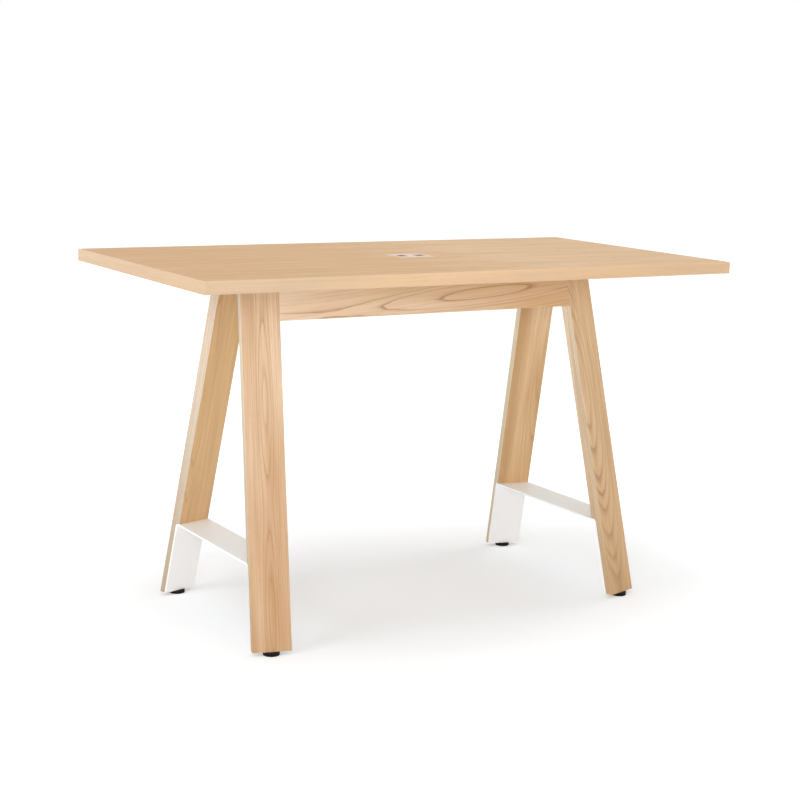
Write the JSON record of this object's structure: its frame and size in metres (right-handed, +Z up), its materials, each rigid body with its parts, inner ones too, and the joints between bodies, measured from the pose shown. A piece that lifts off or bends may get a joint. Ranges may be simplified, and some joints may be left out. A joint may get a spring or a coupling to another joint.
{
  "type": "conference table",
  "caption": "Standing-height meeting table with an ash top, splayed plank legs joined by rails, white steel footrests, levelling glides and a flush power unit in the top.",
  "frame": {"origin": "on the floor under the middle of the top", "axes": "+X along the table's length, the front long side faces -Y, +Z up"},
  "size_m": [1.8, 0.9, 1.08],
  "materials": {
    "ash": "solid ash, clear matt lacquer",
    "ash_veneer": "ash veneer, clear matt lacquer",
    "dowel_beech": "plain turned beech",
    "white_steel": "fine white powder coat",
    "zinc_steel": "bright zinc plate",
    "insert_brass": "plain brass",
    "glide_plastic": "black moulded nylon",
    "bezel_plastic": "white moulded plastic",
    "module_plastic": "dark grey moulded plastic",
    "housing_plastic": "grey moulded plastic",
    "board_laminate": "green glass-fibre laminate",
    "contact_brass": "bright brass"
  },
  "bodies": {
    "frame": {"charge_module_left": "module_plastic", "charge_module_right": "module_plastic", "circuit_board": "board_laminate", "clamp_screws": "zinc_steel", "cross_rail_dowels": "dowel_beech", "cross_rail_left": "ash", "cross_rail_right": "ash", "end_rail_dowels": "dowel_beech", "end_rail_left": "ash", "end_rail_right": "ash", "fixing_angles": "zinc_steel", "footrest_left": "white_steel", "footrest_right": "white_steel", "footrest_screws": "white_steel", "front_rail": "ash", "glide_inserts": "insert_brass", "inlet_pins": "contact_brass", "leg_front_left": "ash", "leg_front_right": "ash", "leg_rear_left": "ash", "leg_rear_right": "ash", "lipping_front": "ash", "lipping_left": "ash", "lipping_rear": "ash", "lipping_right": "ash", "port_tongues": "contact_brass", "power_bezel": "bezel_plastic", "power_clamps": "zinc_steel", "power_housing": "housing_plastic", "power_inlet": "module_plastic", "rail_dowels": "dowel_beech", "rail_screws": "zinc_steel", "rear_rail": "ash", "tabletop_panel": "ash_veneer", "top_screws": "zinc_steel"},
    "glide_front_left": {"glide_pad_front_left": "glide_plastic", "glide_stem_front_left": "zinc_steel"},
    "glide_rear_left": {"glide_pad_rear_left": "glide_plastic", "glide_stem_rear_left": "zinc_steel"},
    "glide_front_right": {"glide_pad_front_right": "glide_plastic", "glide_stem_front_right": "zinc_steel"},
    "glide_rear_right": {"glide_pad_rear_right": "glide_plastic", "glide_stem_rear_right": "zinc_steel"}
  },
  "joints": [
    {"name": "level_front_left", "type": "slide", "parent": "frame", "child": "glide_front_left", "axis": [0, 0, -1], "range_m": [0, 0.012]},
    {"name": "level_rear_left", "type": "slide", "parent": "frame", "child": "glide_rear_left", "axis": [0, 0, -1], "range_m": [0, 0.012]},
    {"name": "level_front_right", "type": "slide", "parent": "frame", "child": "glide_front_right", "axis": [0, 0, -1], "range_m": [0, 0.012]},
    {"name": "level_rear_right", "type": "slide", "parent": "frame", "child": "glide_rear_right", "axis": [0, 0, -1], "range_m": [0, 0.012]}
  ]
}
